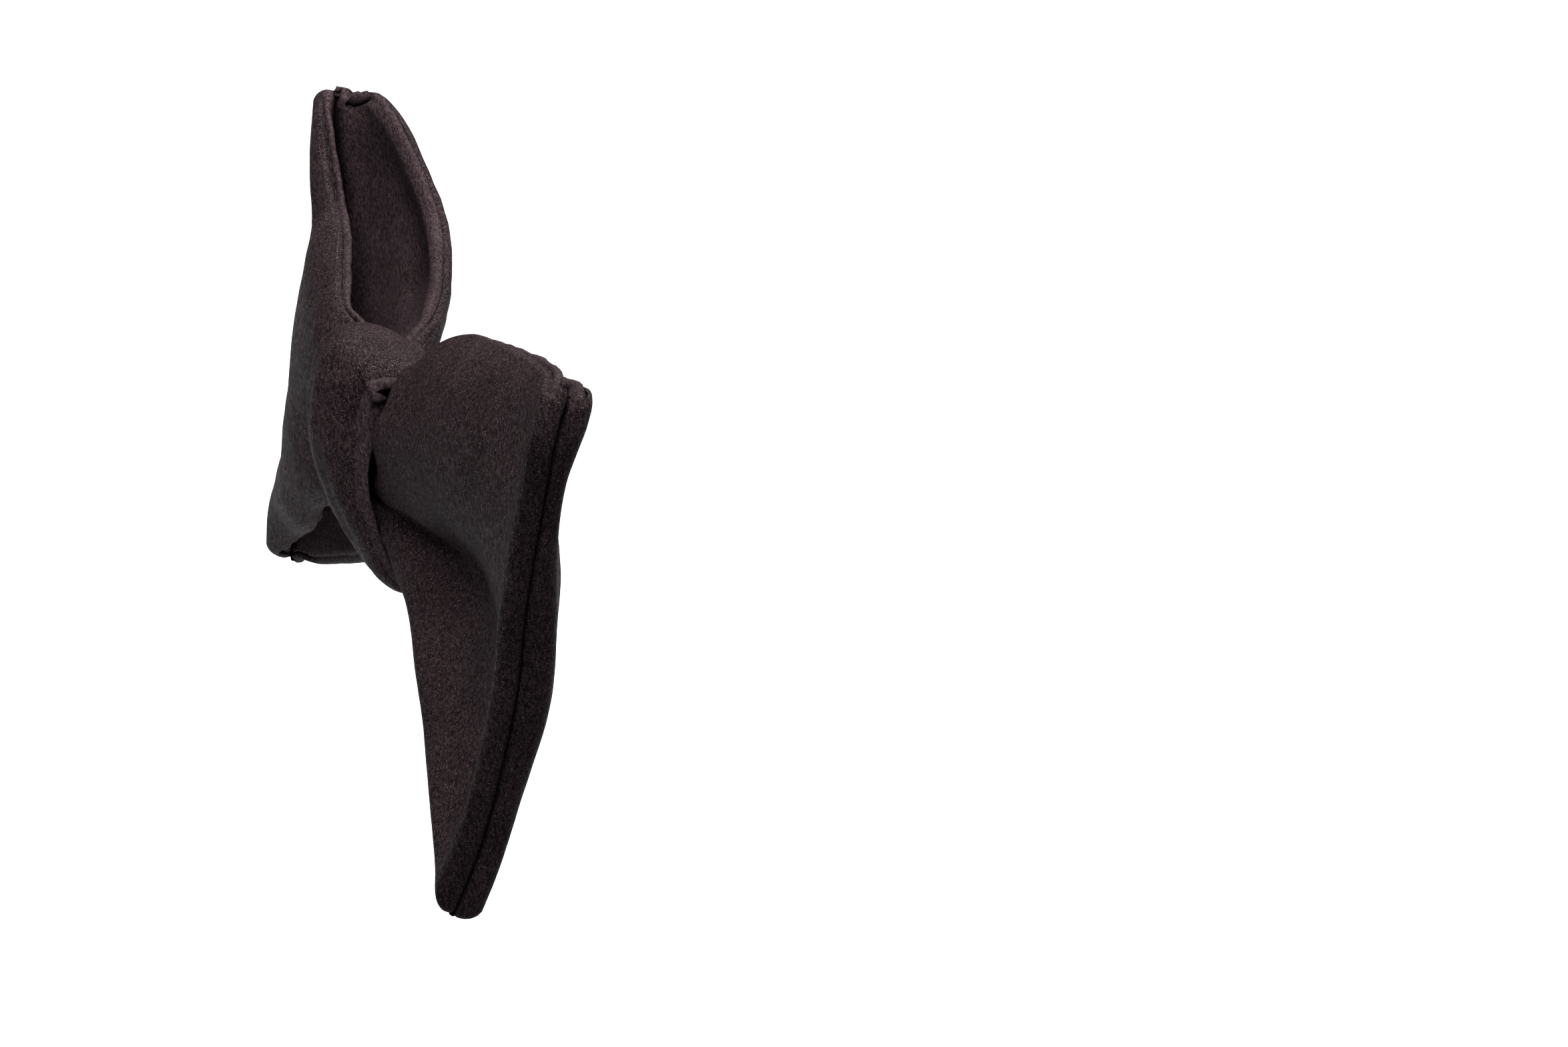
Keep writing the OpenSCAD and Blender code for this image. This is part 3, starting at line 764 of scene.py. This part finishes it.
BINDING_R = 0.3
BINDING_DEPTH = 2.5                    # under the wrap's outline
BINDING_SUNK = 0.1                     # the outer turns lie this much deeper
BINDING_PITCH = 1.1
BINDING_SWAY = 0.3
BINDING_POINTS = 72
loop, loop_n, _ = knot_loop(BINDING_POINTS)
ROUND = 6.28                           # radians
sway = BINDING_SWAY * np.sin(np.arange(BINDING_POINTS) / BINDING_POINTS * ROUND)
binding_paths = []
for turn in (-1, 0, 1):
    yz = loop - loop_n * (BINDING_DEPTH + BINDING_SUNK * abs(turn))
    binding_paths.append(np.column_stack([np.full(BINDING_POINTS, turn * BINDING_PITCH) + sway, yz]))
binding = tubes("binding_twine", binding_paths, BINDING_R, sides=8, closed=True)


def knot_back(z):
    """How far back the wrap stands behind the knot at the height z."""
    rear = loop[loop_n[:, 0] > 0.5]
    order = np.argsort(rear[:, 1])
    return np.interp(z, rear[order, 1], rear[order, 0])


CLOSING_HALF, CLOSING_LEAN = 0.9, 0.5  # a closing stitch's half width, and how far its ends lie up and down
CLOSING_RISE, CLOSING_SUNK = 0.28, 0.12
CLOSING_FROM, CLOSING_TO, CLOSING_PITCH = -8, 8.1, 2
closing_paths = []
for z in np.arange(CLOSING_FROM, CLOSING_TO, CLOSING_PITCH):
    t = np.linspace(-1, 1, STITCH_POINTS)
    rise = CLOSING_RISE * np.cos(t * math.pi / 2) - CLOSING_SUNK
    height = z + CLOSING_LEAN * t
    closing_paths.append(np.column_stack([CLOSING_HALF * t, knot_back(height) + rise, height]))
closing = tubes("knot_hand_stitches", closing_paths, THREAD_R)

HOLE_X, HOLE_Z = 5.0, 3.2              # the sewing holes in the clip's plate
PLATE_T = 0.8
SEWING_R = 0.18
INTO_KNOT = KNOT_TO_COLLAR - PLATE_T - 1.3
OVER_PLATE = KNOT_TO_COLLAR + 0.2
# One strand's way from the knot out through the upper hole and over the plate: (y, z) from hole to middle
STRAND = [
    (INTO_KNOT, HOLE_Z), (OVER_PLATE - 0.5, HOLE_Z + 0.02), (OVER_PLATE - 0.08, HOLE_Z - 0.15),
    (OVER_PLATE, HOLE_Z - 0.5), (OVER_PLATE, 0),
]
STRAND_X = 0.2                         # from the holes' middle
sewing_paths = []
for x in (-HOLE_X, HOLE_X):
    for strand in (-STRAND_X, STRAND_X):
        lower = [(x + strand, y, -z) for y, z in STRAND]
        upper = [(x + strand, y, z) for y, z in STRAND[-2::-1]]
        sewing_paths.append(lower + upper)
clip_sewing = tubes("clip_sewing", sewing_paths, SEWING_R, sides=8)

HINGE_X, PIN_Y = 14.0, KNOT_TO_COLLAR + 2.7
WIRE_R, COIL_R, COIL_H, COIL_TURNS = 0.25, 0.98, 4.4, 4
COIL_STEP = 15                         # degrees
COIL_START = -90


def spring(name, wing):
    """A torsion spring: one leg along the plate, a coil round the pin, one leg under the jaw's tab."""
    path = [(-5, -2.25, -COIL_H / 2), (-3.7, -2.0, -COIL_H / 2), (-2.5, -1.5, -COIL_H / 2)]
    steps = round((COIL_TURNS + 0.5) * 360 / COIL_STEP)
    for i in range(steps + 1):
        turn = math.radians(COIL_STEP * i + COIL_START)
        path.append((COIL_R * math.cos(turn), COIL_R * math.sin(turn), COIL_H * (i / steps - 0.5)))
    path += [(-1.6, 1.05, COIL_H / 2), (-2.6, 1.35, COIL_H / 2), (-4.6, 2.25, COIL_H / 2)]
    path = np.array(path) * (wing, 1, 1) + (wing * HINGE_X, PIN_Y, 0)
    obj = tubes(name, [path], WIRE_R, sides=10, body=None)
    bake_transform(obj)
    return obj


left_spring = spring("left_coil_spring", 1)
right_spring = spring("right_coil_spring", -1)

# ---------------------------------------------------------------- materials


class Nodes:
    """A short way to lay out a material's nodes."""

    def __init__(self, name):
        self.mat = bpy.data.materials.new(name)
        self.mat.use_nodes = True
        self.tree = self.mat.node_tree
        self.shader = self.tree.nodes["Principled BSDF"]
        self.coords = self.tree.nodes.new("ShaderNodeTexCoord")

    def add(self, kind, inputs=None, **settings):
        """A node of this kind. An input is a value, or another node's socket to link it to."""
        node = self.tree.nodes.new(kind)
        for key, value in settings.items():
            setattr(node, key, value)
        for key, value in (inputs or {}).items():
            if isinstance(value, bpy.types.NodeSocket):
                self.tree.links.new(value, node.inputs[key])
            else:
                node.inputs[key].default_value = value
        return node

    def place(self, scale=(1, 1, 1)):
        return self.add("ShaderNodeMapping", {
            "Vector": self.coords.outputs["Object"], "Scale": scale,
        }).outputs[0]

    def noise(self, place, scale, detail, **inputs):
        sockets = {"Vector": place, "Scale": scale, "Detail": detail, **inputs}
        return self.add("ShaderNodeTexNoise", sockets).outputs["Fac"]

    def to_range(self, value, start, end, low=0.0, high=1.0):
        """Turns start to end into low to high, and holds the ends."""
        return self.add("ShaderNodeMapRange", {
            "Value": value, "From Min": start, "From Max": end, "To Min": low, "To Max": high,
        }).outputs[0]

    def mix(self, factor, first, second, **settings):
        """A mix of two colours, by their places among the node's sockets."""
        sockets = {0: factor, 6: first, 7: second}
        return self.add("ShaderNodeMix", sockets, data_type="RGBA", **settings).outputs[2]

    def link(self, output, socket):
        self.tree.links.new(output, self.shader.inputs[socket])

    def relief(self, height, strength, distance):
        bump = self.add("ShaderNodeBump", {"Height": height, "Strength": strength, "Distance": distance})
        self.link(bump.outputs[0], "Normal")

    def ramp(self, factor, low, high, start=0.0, end=1.0):
        """A colour that goes from low to high as the factor goes from start to end."""
        node = self.add("ShaderNodeValToRGB", {"Fac": factor})
        node.color_ramp.elements[0].color = (*low, 1)
        node.color_ramp.elements[1].color = (*high, 1)
        node.color_ramp.elements[0].position = start
        node.color_ramp.elements[1].position = end
        return node.outputs[0]


# Painted shade darkens the colour over the wings' end rolls: out from EDGE_FROM to EDGE_TO, and down
# from EDGE_UNTIL to EDGE_BELOW, where it keeps EDGE_SHADE of its colour
EDGE_FROM, EDGE_TO = 53.0, 54.6
EDGE_BELOW, EDGE_UNTIL = 21.0, 27.0
EDGE_SHADE = 0.46
CREVICE = 2.0                         # painted shade: a fold this deep is painted black
CREVICE_SHADE = 0.22
CREVICE_OPEN = (0.25, 0.85)           # from where it is shut to where it is open enough to look plain
FLOAT_SLANT = math.radians(-24)
FLOAT_LENGTH = 2.6                    # times its width
FLOATS_PER_M, FIBRES_PER_M, CLOUDS_PER_M = 3600.0, 7800.0, 140.0
# The stretches of each noise over which the colour changes, and the tones of the slow one
FLOATS_OVER, FIBRES_OVER, CLOUDS_OVER = (0.41, 0.63), (0.63, 0.74), (0.3, 0.7)
CLOUD_TONES = (0.72, 0.70, 0.72), (1.25, 1.22, 1.25)
WEAVE_RELIEF = 0.0001
SATIN_SPECULAR = 0.03                 # black cloth turns grey at a glance from the side if this is higher
SATIN_TINT = (1.0, 0.88, 0.9, 1)


def satin_material(name, dark, light, painted_glint, roughness=0.48):
    """Black satin: short slanting weft floats, glints of single fibres painted into the colour as highlights,
    painted shade in crevices and on the end rolls, and slow changes of tone.
    """
    m = Nodes(name)
    slant = m.add("ShaderNodeMapping", {
        "Vector": m.coords.outputs["Object"],
        "Rotation": (0.0, FLOAT_SLANT, 0.0), "Scale": (1.0, 1.0, FLOAT_LENGTH),
    }, vector_type="TEXTURE").outputs[0]
    floats = m.noise(slant, FLOATS_PER_M, 2.0, Roughness=0.6)
    fibres = m.noise(m.place(), FIBRES_PER_M, 1.0)
    cloud = m.noise(m.place(), CLOUDS_PER_M, 3.0)
    colour = m.ramp(floats, dark, light, *FLOATS_OVER)
    tone = m.ramp(cloud, *CLOUD_TONES, *CLOUDS_OVER)
    toned = m.mix(1.0, colour, tone, blend_type="MULTIPLY")
    # painted highlight: bright glints of single fibres painted into the colour
    with_painted_glints = m.mix(m.to_range(fibres, *FIBRES_OVER), toned, (*painted_glint, 1))
    place = m.add("ShaderNodeSeparateXYZ", {"Vector": m.coords.outputs["Object"]})
    out_x = m.add("ShaderNodeMath", {0: place.outputs[0]}, operation="ABSOLUTE").outputs[0]
    # painted shade on the end rolls, strongest on their lower part
    edge_shade_by_height = m.to_range(place.outputs[2], EDGE_BELOW * MM, EDGE_UNTIL * MM, EDGE_SHADE, 1.0)
    painted_edge_shade = m.to_range(out_x, EDGE_FROM * MM, EDGE_TO * MM, 1.0, edge_shade_by_height)
    shade = m.mix(1.0, with_painted_glints, painted_edge_shade, blend_type="MULTIPLY")
    # painted shade: the colour darkens in folds, seams and grooves, by how shut in they are
    crevice = m.add("ShaderNodeAmbientOcclusion", {"Distance": CREVICE * MM}, samples=6)
    depth = m.to_range(crevice.outputs["AO"], *CREVICE_OPEN, CREVICE_SHADE, 1.0)
    m.link(m.mix(1.0, shade, depth, blend_type="MULTIPLY"), "Base Color")
    m.link(m.to_range(floats, 0.35, 0.7, roughness + 0.14, roughness - 0.16), "Roughness")
    height = m.add("ShaderNodeMath", {0: floats, 1: fibres}, operation="ADD").outputs[0]
    m.relief(height, 0.8, WEAVE_RELIEF)
    m.shader.inputs["Specular IOR Level"].default_value = SATIN_SPECULAR
    m.shader.inputs["Specular Tint"].default_value = SATIN_TINT
    return m.mat


def fibre_material(name, low, high, scale, roughness=0.85):
    """Loose or spun fibres: streaks of two tones, in relief."""
    m = Nodes(name)
    strands = m.noise(m.place(scale=(1, 1, 0.3)), scale, 5.0)
    m.link(m.ramp(strands, low, high, 0.3, 0.7), "Base Color")
    m.relief(strands, 0.6, WEAVE_RELIEF)
    m.shader.inputs["Roughness"].default_value = roughness
    return m.mat


BRUSHED_PER_M, BLOTCHES_PER_M = 900.0, 260.0
BLOTCH_SHADE = 0.82
STEEL_RELIEF = 0.00002


def steel_material(name, colour, roughness, brush=(1, 1, 12)):
    """Plated steel: fine drawn lines, and faint blotches in the plating."""
    m = Nodes(name)
    lines = m.noise(m.place(scale=brush), BRUSHED_PER_M, 4.0)
    blotch = m.noise(m.place(), BLOTCHES_PER_M, 3.0)
    m.link(m.ramp(blotch, [c * BLOTCH_SHADE for c in colour], colour, 0.3, 0.65), "Base Color")
    m.link(m.to_range(lines, 0.0, 1.0, roughness - 0.08, roughness + 0.14), "Roughness")
    m.relief(lines, 0.15, STEEL_RELIEF)
    m.shader.inputs["Metallic"].default_value = 1.0
    return m.mat


# each satin's last colour is its painted glint, a highlight painted into the colour
SATIN = satin_material("black_satin", (0.009, 0.0055, 0.006), (0.034, 0.023, 0.025), (0.20, 0.15, 0.16))
LINING = satin_material(
    "satin_lining", (0.019, 0.012, 0.0133), (0.056, 0.0395, 0.043), (0.15, 0.115, 0.12), roughness=0.55,
)
WADDING = fibre_material("wadding", (0.60, 0.59, 0.55), (0.78, 0.77, 0.73), 2500)
THREAD = fibre_material("sewing_thread", (0.004, 0.0025, 0.003), (0.012, 0.009, 0.01), 5000, 0.9)
STEEL = steel_material("nickel_plate", (0.50, 0.49, 0.475), 0.34)
PIN_STEEL = steel_material("polished_pin", (0.72, 0.72, 0.72), 0.16)
WIRE = steel_material("spring_wire", (0.42, 0.42, 0.43), 0.3, brush=(1, 1, 1))


def dress(obj, material, node):
    """Gives a piece its material and slot, and puts it in the CAD node's place."""
    obj.data.materials.clear()
    obj.data.materials.append(material)
    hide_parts(node)


dress(front_outer, SATIN, "front_outer_panel")
dress(front_inner, LINING, "front_inner_panel")
dress(back_inner, LINING, "back_inner_panel")
dress(back_outer, SATIN, "back_outer_panel")
dress(front_wad, WADDING, "front_wadding")
dress(back_wad, WADDING, "back_wadding")
dress(knot_band, SATIN, "knot_band")
dress(knot_under, LINING, "knot_under_wrap")
dress(knot_stiffener, WADDING, "knot_interlining")
dress(front_thread, THREAD, "front_ply_thread")
dress(back_thread, THREAD, "back_ply_thread")
dress(left_seam, THREAD, "left_end_seam")
dress(right_seam, THREAD, "right_end_seam")
dress(binding, THREAD, "binding_thread")
dress(closing, THREAD, "knot_closing_stitches")
dress(clip_sewing, THREAD, "clip_base_stitches")
dress(left_spring, WIRE, "left_spring")
dress(right_spring, WIRE, "right_spring")

# The hard pieces of the clip are shown as their CAD nodes
CAD_LOOKS = {
    "clip_base": STEEL, "left_jaw": STEEL, "right_jaw": STEEL,
    "left_hinge_pin": PIN_STEEL, "right_hinge_pin": PIN_STEEL,
}
for node, look in CAD_LOOKS.items():
    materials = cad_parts[node].data.materials
    for k in range(len(materials)):
        materials[k] = look

# ---------------------------------------------------------------- stage, light and camera

CAMERA_AZIMUTH, CAMERA_ELEVATION = 72.0, 23.5
CAMERA_DISTANCE = 472.0
AIM_RIGHT, AIM_UP = 48.2, -7.8       # where the camera looks, measured from the knot in the picture's plane
LENS = 90.0

az, el = math.radians(CAMERA_AZIMUTH), math.radians(CAMERA_ELEVATION)
back = np.array([math.sin(az) * math.cos(el), -math.cos(az) * math.cos(el), math.sin(el)])
right = np.array([math.cos(az), math.sin(az), 0])
up = np.array([-math.sin(az) * math.sin(el), math.cos(az) * math.sin(el), math.cos(el)])
camera_data = bpy.data.cameras.new("camera")
camera_data.lens = LENS
camera_data.sensor_width = 36.0
camera_data.clip_start = 0.01
camera_data.clip_end = 20
camera = bpy.data.objects.new("camera", camera_data)
bpy.context.scene.collection.objects.link(camera)
camera.location = to_frame(back * CAMERA_DISTANCE + right * AIM_RIGHT + up * AIM_UP)
camera.rotation_euler = Matrix(np.stack([right, up, back], 1).tolist()).to_euler()
bpy.context.scene.camera = camera

FLOOR_BOUNCE = 0.35                  # how pale the floor is to the light that it throws back
FLOOR_GLOW = 0.5                     # and how much it glows to the camera
FLOOR_DROP = 0.075                   # the bow hangs this far above the floor, as it does on a collar
FLOOR_HALF = 3.0
floor_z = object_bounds()[0][2] - FLOOR_DROP
floor_mesh = bpy.data.meshes.new("floor")
floor_corners = [(FLOOR_HALF * x, FLOOR_HALF * y, floor_z) for x, y in ((-1, -1), (1, -1), (1, 1), (-1, 1))]
floor_mesh.from_pydata(floor_corners, [], [(0, 1, 2, 3)])
floor = bpy.data.objects.new("floor", floor_mesh)
bpy.context.scene.collection.objects.link(floor)
paper = Nodes("paper")
paper_tone = paper.add("ShaderNodeTexNoise", {"Vector": paper.place(), "Scale": 3.0}).outputs["Fac"]
pale = paper.ramp(paper_tone, (0.90, 0.89, 0.885), (0.93, 0.925, 0.92))
seen = paper.add("ShaderNodeLightPath").outputs["Is Camera Ray"]
# the camera sees white paper, and the cloth is lit from below as by a grey one
paper.link(paper.mix(seen, (FLOOR_BOUNCE, FLOOR_BOUNCE, FLOOR_BOUNCE, 1), pale), "Base Color")
glow = paper.add("ShaderNodeMath", {0: seen, 1: FLOOR_GLOW}, operation="MULTIPLY").outputs[0]
paper.link(glow, "Emission Strength")
paper.shader.inputs["Emission Color"].default_value = (1, 1, 1, 1)
paper.shader.inputs["Roughness"].default_value = 0.9
floor.data.materials.append(paper.mat)


def softbox(name, place, aim, width, power):
    """A square area light, in metres and watts."""
    lamp = bpy.data.lights.new(name, "AREA")
    lamp.shape = "SQUARE"
    lamp.size = width
    lamp.energy = power
    obj = bpy.data.objects.new(name, lamp)
    bpy.context.scene.collection.objects.link(obj)
    obj.location = place
    obj.rotation_euler = (Vector(aim) - Vector(place)).to_track_quat("-Z", "Y").to_euler()


# where each stands, what it lights, its width and its power
softbox("key", (0.5, -0.2, 0.85), (0, 0, 0), 0.4, 9)
softbox("top", (0.0, 0.1, 0.95), (0, 0, 0), 0.6, 8)
softbox("behind", (-0.1, 0.8, 0.5), (0, 0, 0), 0.6, 4)
softbox("floor_light", (-0.7, 0.3, 0.9), (-0.7, 0.25, -0.1), 0.9, 12)

WORLD_LIGHT, WORLD_SEEN = 0.06, 1.0  # how bright the world is to the cloth, and to the camera
world = bpy.data.worlds.new("world")
bpy.context.scene.world = world
world.use_nodes = True
backdrop = world.node_tree.nodes["Background"]
backdrop.inputs["Color"].default_value = (1, 0.995, 0.99, 1)
rays = world.node_tree.nodes.new("ShaderNodeLightPath")
strength = world.node_tree.nodes.new("ShaderNodeMapRange")
strength.inputs["To Min"].default_value = WORLD_LIGHT
strength.inputs["To Max"].default_value = WORLD_SEEN
world.node_tree.links.new(rays.outputs["Is Camera Ray"], strength.inputs["Value"])
world.node_tree.links.new(strength.outputs[0], backdrop.inputs["Strength"])
bpy.context.scene.view_settings.view_transform = "Standard"
